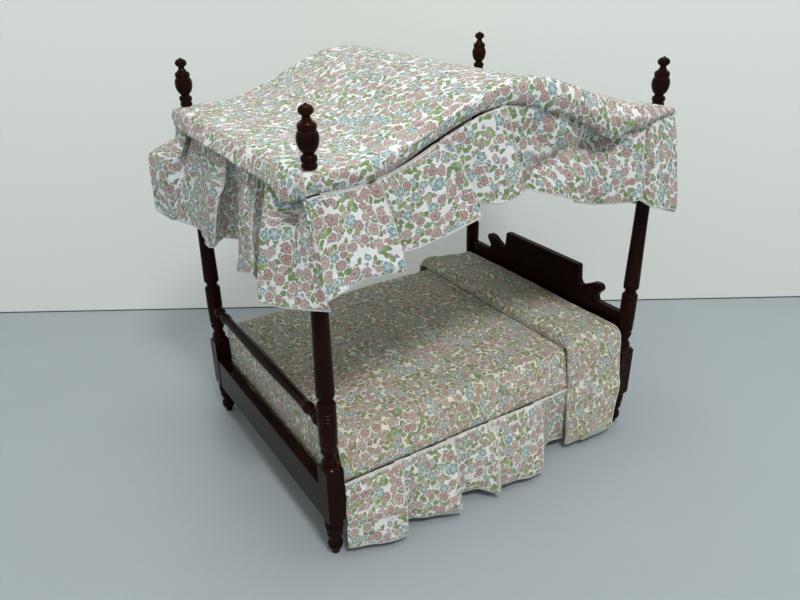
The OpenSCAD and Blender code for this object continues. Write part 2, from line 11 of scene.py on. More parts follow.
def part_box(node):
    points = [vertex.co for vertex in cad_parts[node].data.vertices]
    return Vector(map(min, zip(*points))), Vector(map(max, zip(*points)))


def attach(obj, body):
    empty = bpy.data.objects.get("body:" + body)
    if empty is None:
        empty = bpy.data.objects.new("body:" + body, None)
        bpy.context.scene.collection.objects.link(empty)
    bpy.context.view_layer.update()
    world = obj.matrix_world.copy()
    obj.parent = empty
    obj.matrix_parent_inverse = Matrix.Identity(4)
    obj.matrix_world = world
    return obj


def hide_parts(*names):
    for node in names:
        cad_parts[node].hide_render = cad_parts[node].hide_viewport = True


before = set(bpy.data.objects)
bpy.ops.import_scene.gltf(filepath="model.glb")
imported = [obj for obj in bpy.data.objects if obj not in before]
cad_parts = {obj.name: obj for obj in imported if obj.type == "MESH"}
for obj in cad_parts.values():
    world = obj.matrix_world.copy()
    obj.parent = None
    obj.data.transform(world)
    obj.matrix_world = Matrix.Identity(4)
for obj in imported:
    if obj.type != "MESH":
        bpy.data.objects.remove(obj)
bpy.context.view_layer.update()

MM = 0.001

CLOTH_T = 0.28 * MM  # thickness of the printed cotton
NO_RAW_EDGE = 1.0  # a raw edge too far away, in metres, to show

# How close the print is, by the first word of a sheet's name, or else 0
CLOSE_PRINT = {"skirt": 0.4, "bedspread": 1.0, "pillow": 1.0}


# ---- numbers and curves

def ease(t):
    """0 to 1 with a soft start and a soft end."""
    t = np.clip(t, 0.0, 1.0)
    return t * t * (3 - 2 * t)


def between(t, stations, values):
    """A smooth curve through a few chosen values."""
    stations = np.asarray(stations, float)
    values = np.asarray(values, float)
    t = np.asarray(t, float)
    slope = np.gradient(values, stations)
    i = np.clip(np.searchsorted(stations, t) - 1, 0, len(stations) - 2)
    width = stations[i + 1] - stations[i]
    s = np.clip((t - stations[i]) / width, 0, 1)
    a, b = s * s * (3 - 2 * s), s * (1 - s)
    return (values[i] * (1 - a) + values[i + 1] * a
            + width * b * ((1 - s) * slope[i] - s * slope[i + 1]))


def lumps(points, size, seed=0.0):
    """Soft random numbers from -1 to 1 at many points."""
    flat = np.asarray(points, float).reshape(-1, 3) / size + seed
    found = [noise.noise(Vector(p)) for p in flat]
    return np.array(found).reshape(np.shape(points)[:-1])


def softened(line, width, spacing):
    """A line of points with its corners rounded over about that width."""
    reach = max(1, int(round(2.5 * width / spacing)))
    offsets = np.arange(-reach, reach + 1)
    weight = np.exp(-0.5 * (offsets * spacing / width) ** 2)
    weight /= weight.sum()
    before = 2 * line[0] - line[reach:0:-1]
    after = 2 * line[-1] - line[-2:-reach - 2:-1]
    longer = np.concatenate([before, line, after])
    return np.stack([np.convolve(c, weight, "valid") for c in longer.T], axis=1)


def lengths(line):
    """How far along the line each of its points lies."""
    steps = np.linalg.norm(np.diff(line, axis=0), axis=1)
    return np.concatenate([[0.0], np.cumsum(steps)])


def along_line(line, at, places):
    """The points at some places of a line whose own points lie at at."""
    return np.stack([np.interp(places, at, column) for column in np.transpose(line)], axis=1)


# ---- cloth meshes

def normals_of(points):
    """A grid's outward normals; its rows run down and its columns across."""
    normal = np.cross(np.gradient(points, axis=0), np.gradient(points, axis=1))
    size = np.linalg.norm(normal, axis=2, keepdims=True)
    return normal / np.maximum(size, 1e-12)


def border_of(faces):
    """The edges that only one face uses, in that face's direction."""
    edges = np.concatenate([faces[:, [k, (k + 1) % 4]] for k in range(4)])
    known = {tuple(e) for e in edges.tolist()}
    return np.array([e for e in known if (e[1], e[0]) not in known])


def edge_distance(flat, border):
    """How far each point of the flat cut is from the cut's edge."""
    tree = KDTree(len(border))
    for i in np.unique(border):
        tree.insert((*flat[i], 0.0), int(i))
    tree.balance()
    return np.array([tree.find((*p, 0.0))[2] for p in flat.tolist()])


def flat_grid(across, down):
    """A grid's places in the flat cut, from its columns' and how far down its rows lie."""
    return np.stack(np.broadcast_arrays(across[None, :], -down[:, None]), axis=2)


def sheet_faces(rows, cols, keep):
    """The faces of a sheet's face, reverse and rim, and its border."""
    count = rows * cols
    index = np.arange(count).reshape(rows, cols)
    a, b, c, d = index[:-1, :-1], index[:-1, 1:], index[1:, 1:], index[1:, :-1]
    front = np.stack([a, d, c, b], axis=2)
    front = front.reshape(-1, 4) if keep is None else front[keep]
    border = border_of(front)
    first, last = border.T
    rim = np.stack([last, first, first + count, last + count], axis=1)
    return np.concatenate([front, front[:, ::-1] + count, rim]), border


def cloth(name, points, flat, body, keep=None, raw=None, folds=None):
    """A woven sheet from a grid of points of its face. flat has their places in the flat cut,
    which the print follows, keep says which cells are cloth, raw how far a point is from a raw
    edge, unless the cut's whole edge is one, and the last argument how much painted highlight
    a point gets along a sharp fold."""
    rows, cols = points.shape[:2]
    count = rows * cols
    vertices = np.concatenate([points, points - CLOTH_T * normals_of(points)]).reshape(-1, 3)
    faces, border = sheet_faces(rows, cols, keep)
    used, faces = np.unique(faces, return_inverse=True)
    faces = faces.reshape(-1, 4)
    spot = flat.reshape(-1, 2)
    far = edge_distance(spot, border) if raw is None else (raw + np.zeros((rows, cols))).ravel()
    # The painted highlight along sharp folds, kept for the print's material
    wear_and_glint = 0 * far if folds is None else folds.ravel()
    mesh = bpy.data.meshes.new(name)
    mesh.from_pydata(vertices[used].tolist(), [], faces.tolist())
    layer = mesh.uv_layers.new(name="cloth")
    layer.data.foreach_set("uv", spot[used[faces.ravel()] % count].astype(np.float32).ravel())
    close = CLOSE_PRINT.get(name.split("_")[0], 0.0) + 0 * far
    for kind, values in (("raw_edge", far[used % count]), ("close", close[used % count]),
                         ("fold_highlight", wear_and_glint[used % count]), ("reverse", used >= count)):
        made = mesh.attributes.new(kind, "FLOAT", "POINT")
        made.data.foreach_set("value", values.astype(np.float32))
    mesh.shade_smooth()
    mesh.materials.append(print_cloth())
    piece = bpy.data.objects.new(name, mesh)
    bpy.context.scene.collection.objects.link(piece)
    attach(piece, body)
    return piece


# ---- materials

class Number:
    """A node's output that the signs of arithmetic work on."""

    def __init__(self, tree, socket):
        self.tree = tree
        self.socket = socket

    def sum_of(self, operation, *others):
        node = self.tree.nodes.new("ShaderNodeMath")
        node.operation = operation
        for socket, value in zip(node.inputs, (self, *others)):
            plug(self.tree, socket, value)
        return Number(self.tree, node.outputs[0])

    __add__ = partialmethod(sum_of, "ADD")
    __sub__ = partialmethod(sum_of, "SUBTRACT")
    __mul__ = partialmethod(sum_of, "MULTIPLY")
    __truediv__ = partialmethod(sum_of, "DIVIDE")
    most = partialmethod(sum_of, "MAXIMUM")
    sine = partialmethod(sum_of, "SINE")

    def ramp(self, start, end):
        """0 at start, 1 at end, smooth between; start may be the larger."""
        node = self.tree.nodes.new("ShaderNodeMapRange")
        node.interpolation_type = "SMOOTHSTEP"
        plug(self.tree, node.inputs["Value"], self)
        ends = (*sorted((start, end)), start > end, start < end)
        for key, value in zip(("From Min", "From Max", "To Min", "To Max"), ends):
            node.inputs[key].default_value = value
        return Number(self.tree, node.outputs["Result"])


def plug(tree, socket, value):
    """Links a node's output to a socket, or sets its plain value."""
    if isinstance(value, Number):
        value = value.socket
    if isinstance(value, bpy.types.NodeSocket):
        tree.links.new(value, socket)
    else:
        socket.default_value = value


def srgb(red, green, blue):
    """A colour as it looks, from 0 to 255, as Blender's linear one."""
    return tuple(c / 12.92 if c <= 0.04045 else ((c + 0.055) / 1.055) ** 2.4
                 for c in (red / 255, green / 255, blue / 255)) + (1.0,)


# A mix node's sockets for colours
FACTOR, FIRST, SECOND, MIXED = 0, 6, 7, 2


class Graph:
    """The nodes of one material, and short ways to add to them."""

    def __init__(self, name):
        self.material = bpy.data.materials.new(name)
        self.material.use_nodes = True
        self.tree = self.material.node_tree
        self.shader = self.tree.nodes["Principled BSDF"]

    def node(self, kind, inputs=None, **settings):
        made = self.tree.nodes.new("ShaderNode" + kind)
        for key, value in settings.items():
            setattr(made, key, value)
        for key, value in (inputs or {}).items():
            plug(self.tree, made.inputs[key], value)
        return made

    def number(self, socket):
        return Number(self.tree, socket)

    def mix(self, factor, first, second):
        """The first colour where the factor is 0, the second where it is 1."""
        made = self.node("Mix", {FACTOR: factor, FIRST: first, SECOND: second},
                         data_type="RGBA", clamp_factor=True)
        return made.outputs[MIXED]

    def noise(self, place, scale, detail=2.0, roughness=0.5):
        made = self.node("TexNoise", {"Vector": place, "Scale": scale, "Detail": detail,
                                      "Roughness": roughness})
        return self.number(made.outputs["Fac"])

    def vector(self, operation, *values):
        """The node of a sum with vectors."""
        return self.node("VectorMath", dict(enumerate(values)), operation=operation)

    def parts(self, vector):
        made = self.node("SeparateXYZ", {"Vector": vector})
        return [self.number(o) for o in made.outputs]

    def bump(self, height, distance, strength=1.0, after=None):
        inputs = {"Height": height, "Distance": distance, "Strength": strength}
        if after is not None:
            inputs["Normal"] = after
        return self.node("Bump", inputs).outputs["Normal"]

    def attribute(self, name):
        return self.number(self.node("Attribute", attribute_name=name).outputs["Fac"])

    def set(self, **values):
        """Sets the shader's sockets; an underscore stands for a space."""
        for name, value in values.items():
            plug(self.tree, self.shader.inputs[name.replace("_", " ")], value)
        return self.material


# The print is drawn in millimetres of the flat cut
PRINT_SPAN = 5.2  # usual distance between two flowers
GROUND = srgb(238, 239, 238)
SHARP = 0.0004  # step between two kinds of motif, in chances
ROUND = 6.28  # a full turn, roughly
THREADS = 19.0  # the weave, in radians to a millimetre


def scattered(g, place, spacing, shift):
    """One motif in each cell of a net: the way from its middle, the cell's three chances and
    how far away the cell's border is."""
    moved = g.vector("ADD", place, (shift, shift * 0.7, 0)).outputs[0]
    net = {"Vector": moved, "Scale": 1 / spacing, "Randomness": 0.85}
    cells = g.node("TexVoronoi", net, voronoi_dimensions="2D")
    way = g.vector("SUBTRACT", moved, cells.outputs["Position"]).outputs[0]
    chances = g.node("SeparateColor", {"Color": cells.outputs["Color"]}).outputs
    border = g.node("TexVoronoi", net, voronoi_dimensions="2D", feature="DISTANCE_TO_EDGE")
    gap = g.number(border.outputs["Distance"]) * spacing
    return way, [g.number(o) for o in chances], gap


def polar(g, way, turn):
    """Distance and angle of a place in a motif."""
    x, y, _ = g.parts(way)
    reach = g.number(g.vector("LENGTH", way).outputs["Value"])
    return reach, y.sum_of("ARCTAN2", x) + turn * ROUND


def blossom(g, way, chances, gap, size, petals, scallop):
    """How far out in a flower a place is (1 at its rim), how clear of its border, and the angle."""
    reach, angle = polar(g, way, chances[1])
    rim = (chances[2] * 0.28 + 0.84) * size * ((angle * petals).sine() * scallop + 1)
    return reach / rim, gap.ramp(0.04, 0.16), angle


def rose_colours(g, out, angle, rough, tone):
    """Dusty pink petals with darker rings round a dark eye."""
    petal = g.mix(tone, srgb(208, 186, 178), srgb(178, 146, 140))
    petal = g.mix(rough.ramp(0.5, 0.66) * 0.6, petal, srgb(226, 212, 206))
    rings = (out * 7 + angle * 1.0 + rough * 15).sine().ramp(-0.1, 0.7)
    ringed = g.mix(rings * 0.6, petal, srgb(142, 112, 108))
    rim = g.mix(out.ramp(0.66, 1.0) * 0.75, ringed, srgb(102, 84, 80))
    return g.mix(out.ramp(0.26, 0.08) * 0.8, rim, srgb(122, 88, 86))


def blue_colours(g, out, angle, rough, tone):
    """Pale teal petals with slate outlines and a light middle."""
    petal = g.mix(tone, srgb(184, 208, 204), srgb(150, 180, 180))
    veins = ((angle * 5).sine() * out + rough * 1.2).ramp(0.5, 0.85)
    veined = g.mix(veins * 0.6, petal, srgb(104, 122, 134))
    rim = g.mix(out.ramp(0.66, 1.0) * 0.8, veined, srgb(86, 98, 112))
    return g.mix(out.ramp(0.34, 0.2), rim, srgb(204, 214, 206))


def flowers(g, colour, place, rough, spacing, shift, size, share):
    """Prints roses and blue flowers with thin pale rims."""
    way, chances, gap = scattered(g, place, spacing, shift)
    out, whole, angle = blossom(g, way, chances, gap, size, 5, 0.05)
    out = out + (rough - 0.5) * 1.1
    flower = g.mix(chances[0].ramp(share * 0.74, share * 0.74 + SHARP),
                   rose_colours(g, out, angle, rough, chances[1]),
                   blue_colours(g, out, angle, rough, chances[1]))
    held = chances[0].ramp(share + SHARP, share) * whole
    colour = g.mix(out.ramp(1.3, 1.16) * held * 0.85, colour, GROUND)
    return g.mix(out.ramp(1.12, 0.9) * held, colour, flower)


def leaves(g, colour, place, rough, spacing, shift, share):
    """Prints leaves over the colour."""
    way, chances, gap = scattered(g, place, spacing, shift)
    turned = g.node("VectorRotate", {"Vector": way, "Angle": chances[1] * ROUND},
                    rotation_type="Z_AXIS").outputs[0]
    x, y, _ = g.parts(turned)
    x = x / 1.8
    half = (x * x * -1 + 1).most(0.001) * (chances[2] * 0.5 + 0.85)
    out = y.sum_of("ABSOLUTE") / half
    leaf = g.mix(chances[2].ramp(0.3, 0.8), srgb(130, 152, 102), srgb(160, 178, 128))
    leaf = g.mix((out + rough * 0.8 - 0.4).ramp(0.5, 0.95) * 0.85, leaf, srgb(72, 96, 58))
    leaf = g.mix(out.ramp(0.2, 0.08) * 0.5, leaf, srgb(92, 114, 74))
    held = chances[0].ramp(share + SHARP, share) * gap.ramp(0.04, 0.16)
    return g.mix(out.ramp(1.15, 0.8) * held, colour, leaf)


def filling(g, colour, place, rough, close):
    """Prints small blots where the pattern is close."""
    way, chances, gap = scattered(g, place, PRINT_SPAN * 0.56, 57.0)
    tint = g.mix(chances[0].ramp(0.34, 0.34 + SHARP), srgb(160, 132, 118), srgb(118, 134, 94))
    tint = g.mix(chances[0].ramp(0.7, 0.7 + SHARP), tint, srgb(130, 164, 160))
    tint = g.mix(chances[1].ramp(0.82, 0.82 + SHARP), tint, srgb(134, 124, 138))
    tint = g.mix((gap + rough * 0.5).ramp(0.85, 0.5) * 0.6, tint, srgb(90, 90, 78))
    inside = (gap + rough * 0.5 - 0.25).ramp(0.24, 0.38)
    return g.mix(inside * close * chances[2].ramp(0.5 + SHARP, 0.5), colour, tint)


def buds(g, colour, place):
    """Prints small mauve and pink buds."""
    way, chances, gap = scattered(g, place, PRINT_SPAN * 0.5, 31.0)
    out, whole, _ = blossom(g, way, chances, gap, 0.85, 3, 0.25)
    bud = g.mix(chances[2].ramp(0.45, 0.55), srgb(168, 146, 180), srgb(190, 150, 150))
    bud = g.mix(out.ramp(0.5, 1.0) * 0.7, bud, srgb(122, 108, 136))
    return g.mix(out.ramp(1.06, 0.9) * whole * chances[0].ramp(0.5, 0.496), colour, bud)


def highlights_and_wear(g, colour, place, rough):
    """Paints highlights along sharp folds, and pales the print on the reverse and at frayed edges.
    """
    # Painted highlight: a pale, broken line along sharp folds and rolled tops, where light would
    # catch them
    wear_and_glint = g.attribute("fold_highlight") * g.noise(place, 0.5, 2.0).ramp(0.15, 0.4)
    colour = g.mix(wear_and_glint * 0.85, colour, srgb(242, 241, 238))
    paler = g.attribute("reverse").ramp(0.4, 0.6)
    colour = g.mix(paler * 0.42, colour, srgb(214, 212, 206))
    fray = (g.attribute("raw_edge") / MM + rough * 0.5).ramp(1.0, 0.6)
    return g.mix(fray, colour, srgb(250, 249, 246))


def woven(g, place):
    """The cloth's crumples, slubs and weave."""
    x, y, _ = g.parts(place)
    weave = (x * THREADS).sine() * (y * THREADS).sine()
    crumple = g.noise(place, 0.11, 4.0, 0.55)
    slubs = g.noise(place, 1.1, 3.0, 0.6)
    normal = g.bump(crumple, 0.9 * MM, 0.55)
    normal = g.bump(slubs, 0.06 * MM, 0.5, normal)
    return g.bump(weave, 0.02 * MM, 0.4, normal)


@cache
def print_cloth():
    """Fine white cotton, printed all over with roses, blue flowers and leaves. Where the print
    is close, it is creamier and filled with blots."""
    g = Graph("print cloth")
    close = g.attribute("close")
    scaled = g.vector("SCALE", g.node("UVMap", uv_map="cloth").outputs["UV"])
    plug(g.tree, scaled.inputs["Scale"], (close * 0.14 + 1) / MM)
    place = scaled.outputs[0]
    drift = g.node("TexNoise", {"Vector": place, "Scale": 0.55, "Detail": 2.0}).outputs["Color"]
    drift = g.vector("SCALE", g.vector("SUBTRACT", drift, (0.5, 0.5, 0.5)).outputs[0])
    drift.inputs["Scale"].default_value = 0.8
    drawn = g.vector("ADD", place, drift.outputs[0]).outputs[0]
    rough = g.noise(place, 1.6, 2.0)
    ink = g.noise(place, 0.35, 3.0)

    colour = g.mix(close, g.mix(ink, GROUND, srgb(228, 229, 228)), srgb(236, 235, 220))
    colour = filling(g, colour, drawn, rough, close)
    colour = buds(g, colour, drawn)
    colour = leaves(g, colour, drawn, rough, PRINT_SPAN * 0.66, 7.0, 0.72)
    colour = leaves(g, colour, drawn, rough, PRINT_SPAN * 0.66, 19.0, 0.6)
    colour = flowers(g, colour, drawn, rough, PRINT_SPAN * 0.8, 3.0, 1.5, 0.66)
    colour = flowers(g, colour, drawn, rough, PRINT_SPAN * 1.08, 43.0, 2.1, 0.6)
    colour = g.mix(close * 0.1, colour, srgb(228, 196, 140))
    colour = highlights_and_wear(g, colour, place, rough)
    return g.set(Base_Color=colour, Roughness=0.86, Sheen_Weight=0.12, Sheen_Roughness=0.5,
                 Specular_IOR_Level=0.22, Normal=woven(g, place))


def grained(g, axis, across, along):
    """A place in an object, and the same drawn out along the grain."""
    stretch = [across / MM] * 3
    stretch["xyz".index(axis)] = along / MM
    where = g.node("TexCoord").outputs["Object"]
    return where, g.node("Mapping", {"Vector": where, "Scale": stretch}).outputs[0]


@cache
def mahogany(axis):
    """Very dark red stained wood under a glossy lacquer."""
    g = Graph("mahogany " + axis)
    where, run = grained(g, axis, 2.2, 0.13)
    grain = g.noise(run, 0.55, 6.0, 0.62)
    pores = g.noise(run, 2.6, 3.0, 0.7)
    cloudy = g.noise(where, 45.0, 3.0)
    colour = g.mix(grain.ramp(0.3, 0.72), srgb(18, 9, 6), srgb(38, 14, 9))
    colour = g.mix(cloudy.ramp(0.45, 0.75) * 0.5, colour, srgb(52, 17, 11))
    colour = g.mix(pores.ramp(0.6, 0.74) * 0.5, colour, srgb(11, 5, 4))
    rounded = g.node("Bevel", {"Radius": 0.28 * MM}, samples=4).outputs["Normal"]
    alike = g.vector("DOT_PRODUCT", rounded, g.node("NewGeometry").outputs["Normal"])
    # The turned edges, from a bevelled normal: all get a lighter red that is partly a painted
    # highlight on the ring crests and partly rubbed lacquer, and some are worn pale
    edge = g.number(alike.outputs["Value"]).ramp(0.98, 0.85)
    wear_and_glint = edge * g.noise(where, 260.0, 4.0, 0.7).ramp(0.58, 0.68)
    # Painted highlight along the turned edges, partly rubbed lacquer too
    colour = g.mix(edge * 0.65, colour, srgb(104, 42, 28))
    colour = g.mix(wear_and_glint * 0.75, colour, srgb(138, 88, 64))
    ripple = g.bump(grain, 0.05 * MM, 0.35)
    ripple = g.bump(pores, 0.02 * MM, 0.3, ripple)
    smear = g.noise(where, 160.0, 3.0).ramp(0.3, 0.8) * 0.08 + 0.1
    return g.set(Base_Color=colour, Roughness=smear + wear_and_glint * 0.3, Specular_IOR_Level=0.05,
                 Coat_Weight=0.04, Coat_Roughness=0.06, Normal=ripple)


@cache
def basswood(axis):
    """Plain pale wood of the slats and laths."""
    g = Graph("basswood " + axis)
    _, run = grained(g, axis, 1.6, 0.1)
    grain = g.noise(run, 0.7, 6.0, 0.6)
    fibre = g.noise(run, 3.4, 3.0, 0.7)
    colour = g.mix(grain.ramp(0.3, 0.75), srgb(222, 196, 156), srgb(196, 162, 118))
    colour = g.mix(fibre.ramp(0.55, 0.8) * 0.5, colour, srgb(168, 132, 92))
    normal = g.bump(fibre, 0.03 * MM, 0.5)
    return g.set(Base_Color=colour, Roughness=0.68, Specular_IOR_Level=0.3, Normal=normal)


@cache
def steel():
    """Drawn steel wire of the pins."""
    g = Graph("steel")
    where, run = grained(g, "z", 4, 0.05)
    drawn = g.noise(run, 1.0, 3.0)
    stain = g.noise(where, 700.0, 3.0)
    colour = g.mix(stain.ramp(0.4, 0.8), srgb(176, 176, 174), srgb(128, 124, 120))
    normal = g.bump(drawn, 0.01 * MM, 0.5)
    return g.set(Base_Color=colour, Metallic=1.0, Roughness=stain * 0.2 + 0.24, Normal=normal)


@cache
def ticking():
    """Unbleached cotton of the pads."""
    g = Graph("ticking")
    where = g.node("TexCoord").outputs["Object"]
    x, y, z = g.parts(where)
    fine = THREADS / MM
    threads = (x * fine).sine() * (y * fine).sine() + (z * fine).sine() * 0.6
    soft = g.noise(where, 140.0, 4.0)
    colour = g.mix(soft, srgb(236, 230, 216), srgb(222, 214, 196))
    normal = g.bump(soft, 0.5 * MM, 0.4)
    normal = g.bump(threads, 0.02 * MM, 0.4, normal)
    return g.set(Base_Color=colour, Roughness=0.9, Sheen_Weight=0.2, Sheen_Roughness=0.5,
                 Specular_IOR_Level=0.2, Normal=normal)


# ---- the wooden and steel parts

# The grain's direction in each kind of wooden piece, and the kinds of plain wood
GRAIN = {"post": "z", "finial": "z", "foot_rail": "x", "head_rail": "x", "side_rail": "y",
         "headboard": "x", "blanket_rail": "x", "tester_side": "y", "tester_end": "x",
         "ledger": "y", "slat": "x", "lath": "x"}
PLAIN = ("ledger", "slat", "lath")


def dress_frame():
    """Gives every rigid CAD node its material."""
    for name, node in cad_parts.items():
        kind = next((k for k in (*GRAIN, "pin") if name.startswith(k)), None)
        if not kind:
            continue
        if kind == "pin":
            look = steel()
        else:
            look = (basswood if kind in PLAIN else mahogany)(GRAIN[kind])
        node.data.materials.clear()
        node.data.materials.append(look)


# ---- the canopy cover

def outline_of(node):
    """The upper outline of a CAD node along Y: its Y stations and heights."""
    points = np.array([v.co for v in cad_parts[node].data.vertices], float)
    stations = np.unique(np.round(points[:, 1], 5))
    tops = [points[abs(points[:, 1] - y) < 1e-5][:, 2].max() for y in stations]
    return stations, np.array(tops)


COVER_STEP = 0.9 * MM  # spacing of the points of its top
EDGE_R = 1.3 * MM  # rounding of its upper edge
EDGE_RINGS = 4  # rings of points round that edge
BAND_H = 9 * MM  # depth of the band
BAND_RINGS = 9  # rings of points down the band
BAND_BOW = 0.5 * MM  # fullness of its middle
BAND_LEAN = 0.45 * MM  # lean of its lower edge
BAND_TUCK = 0.85 * MM  # how far it is drawn in where it is tight
ROLL_LIFT = 3.4 * MM  # rise of the loose roll off the right rail
ROLL_OUT = 4.2 * MM  # how far it stands out there
ROLL_FROM = 0.62  # where it starts across the right half
COVER_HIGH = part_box("canopy_cover")[1]
ARCH_Y, ARCH_Z = outline_of("canopy_cover")


def arch(y):
    """Height of the canopy cover at a place along the bed."""
    return np.interp(y, ARCH_Y, ARCH_Z)


def roll(y):
    """How loosely the cover rolls over the right rail, from 0 to 1."""
    return between(y / MM, (-91, -10, 8, 27, 45, 67, 80, 91), (0, 0, .3, .7, 1, 1, .6, .1))


def band_edge(y, right):
    """Height of the band's lower edge on a long side."""
    plain = arch(y) - BAND_H
    if not right:
        return plain
    sag = between(y / MM, (-91, -8, 7, 18, 30, 42, 52, 60, 68, 80, 91),
                  (0, 0, 2, 3.2, 2.6, 4, 4, 0, -2.4, -3.8, -4.6))
    return plain - sag * MM


def band_flare(x):
    """How far the foot end's band stands out at its lower edge."""
    return between(x / MM, (-67, -45, -15, 20, 48, 58, 67),
                   (0.4, 2.2, 3.6, 3.6, 2.6, 3.2, 0.3)) * MM


def band_droop(x):
    """How much lower it hangs near its right corner."""
    return between(x / MM, (-67, 44, 53, 58, 62, 67), (0, 0, 0.8, 2.8, 2.0, 0)) * MM


def band_bulge(px, py, share, long_side, right, foot):
    """How far the band stands out at a share of its depth."""
    bulge = BAND_BOW * math.sin(math.pi * share) + BAND_LEAN * share
    if long_side:
        tight = 1 - roll(py) if right else 1
        bulge -= BAND_TUCK * ease((share - 0.55) / 0.45) * tight
    if right:
        bulge += ROLL_OUT * roll(py) * math.sin(0.78 * math.pi * share ** 0.9)
    if foot:
        bulge += band_flare(px) * share ** 1.4
    return bulge


def cover_point(px, py, run, over, toward):
    """A point of the cover, and its place in the flat cut. It is on the top at px and py or, by
    over rings across and along the bed, beyond its edge there, on the sides whose signs toward
    has. run is how far along the arch py lies."""
    across = px / (COVER_HIGH.x - EDGE_R)
    lift = ROLL_LIFT * roll(py) * ease((across - ROLL_FROM) / (1 - ROLL_FROM))
    place = np.array([px, py, arch(py) + lift])
    ring = max(over)
    if not ring:
        return place, (px, run)
    right, foot = toward[0] > 0, toward[1] < 0
    turn = min(ring / EDGE_RINGS, 1) * math.pi / 2
    share = max(ring - EDGE_RINGS, 0) / BAND_RINGS
    low = band_edge(py, right) if over[0] else arch(py) - BAND_H
    if foot:
        low -= band_droop(px)
    straight = (place[2] - low - EDGE_R) * share
    out = EDGE_R * math.sin(turn) + band_bulge(px, py, share, bool(over[0]), right, foot)
    parts = (over[0] / ring, over[1] / ring)
    place[0] += toward[0] * out * parts[0]
    place[1] += toward[1] * out * parts[1]
    place[2] -= straight if share else EDGE_R * (1 - math.cos(turn))
    spent = EDGE_R * turn + straight
    return place, (px + toward[0] * spent * parts[0], run - toward[1] * spent * parts[1])


def edge_rings(count, rings):
    """For each row or column of the cover: the line of the top it continues, how many rings
    beyond it lies, and on which side, as -1, 0 or 1."""
    found = []
    for k in range(count + 2 * rings):
        line = min(max(k - rings, 0), count - 1)
        beyond = k - rings - line
        found.append((line, abs(beyond), (beyond > 0) - (beyond < 0)))
    return found


def canopy_cover():
    """One sheet over the tester, turned down all round as a band."""
    half_x, half_y = COVER_HIGH.x - EDGE_R, COVER_HIGH.y - EDGE_R
    x = np.linspace(-half_x, half_x, int(2 * half_x / COVER_STEP))
    y = np.linspace(half_y, -half_y, int(2 * half_y / COVER_STEP))
    run = lengths(np.stack([0 * y, y, arch(y)], axis=1))
    run = run - run[-1] / 2
    rows = edge_rings(len(y), EDGE_RINGS + BAND_RINGS)
    cols = edge_rings(len(x), EDGE_RINGS + BAND_RINGS)
    points = np.zeros((len(rows), len(cols), 3))
    flat = np.zeros((len(rows), len(cols), 2))
    for i, (row, over_y, side_y) in enumerate(rows):
        for j, (col, over_x, side_x) in enumerate(cols):
            points[i, j], flat[i, j] = cover_point(x[col], y[row], run[row], (over_x, over_y),
                                                   (side_x, -side_y))
    soft = lumps(points, 24 * MM, 3.1)
    fine = lumps(points, 9 * MM, 8.7)
    points += normals_of(points) * (0.35 * MM * soft + 0.12 * MM * fine)[..., None]
    piece = cloth("canopy_cover_cloth", points, flat, "canopy", raw=NO_RAW_EDGE)
    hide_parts("canopy_cover")


# ---- the valances

FOLD_STEP = 0.6 * MM  # spacing of the points across a pleated sheet
FALL_STEP = 1.1 * MM  # spacing of the points down it
SIDE_TUCK = 0.6 * MM  # how far a side valance reaches up beside the band
LOOSE_TUCK = 4.5 * MM  # how much further where the band is loose
END_TUCK = 1.2 * MM  # the same of an end valance
HEADER_R = 0.4 * MM  # rounding of a side valance's rolled header
CREASE_R = 0.9 * MM  # rounding of the folds at a hem; a third of it at a header
HIGHLIGHT_W = 0.9 * MM  # half width of a sharp fold's painted highlight
ROLL_HIGHLIGHT = 0.8  # strength of the painted highlight on a rolled header's top

# Each side's outward direction and that of its columns
SIDES = {"right": ((1, 0), (0, 1)), "foot": ((0, -1), (1, 0)),
         "left": ((-1, 0), (0, -1)), "head": ((0, 1), (-1, 0))}

# The stops of each valance, in millimetres: its header's place along the side and how far out
# it is, the same for its hem, and the hem's height
RIGHT_STOPS = [
    (-90.5, 0.5, -88.5, 7, 124.5), (-75, 0.4, -73, 7.5, 130),
    (-60.5, 0.6, -55, 9, 128.5), (-63, 0.2, -59.5, 2.5, 132.5),
    (-47, 0.5, -38, 6, 137.5), (-31.5, 1.1, -21, 8.5, 143),
    (-34, 0.6, -25.5, 2, 147), (-18, 0.9, -9.5, 5, 144.5),
    (-5.5, 1.3, 3, 7, 148), (-8, 0.6, -4, 1.5, 143),
    (6, 0.6, 9.5, 1.5, 145), (24, 0.8, 24, 3, 140.8),
    (38, 0.6, 37, 6, 136), (37, -0.6, 35, 0.5, 135.5), (46, -0.4, 48, 0.5, 131.5),
    (60, 1.2, 63, 6, 131), (74, 1.8, 72.5, 7, 131.5), (73, 0.8, 72, 2.5, 131),
    (78, 1.4, 75.5, 10.5, 127.5), (92, 1.8, 92, 10.5, 123.5)]
# Creases: the place and height of each one's two ends, how far it stands out and its half
# width. The first three draw the right valance in under the band.
RIGHT_CREASES = [((54, 160), (29, 157), -5.5, 11), ((29, 157), (15, 153), -5.5, 11),
                 ((15, 153), (9, 147), -4, 9), ((12, 168), (18, 158), -3.5, 9),
                 ((-6, 172), (5, 150), -1.8, 4),
                 ((-36, 174), (-29, 150), -1.8, 4), ((-64, 162), (-61, 136), -1.8, 4),
                 ((-84, 158), (-82, 134), -1.2, 4), ((72, 160), (71, 138), -2, 4)]
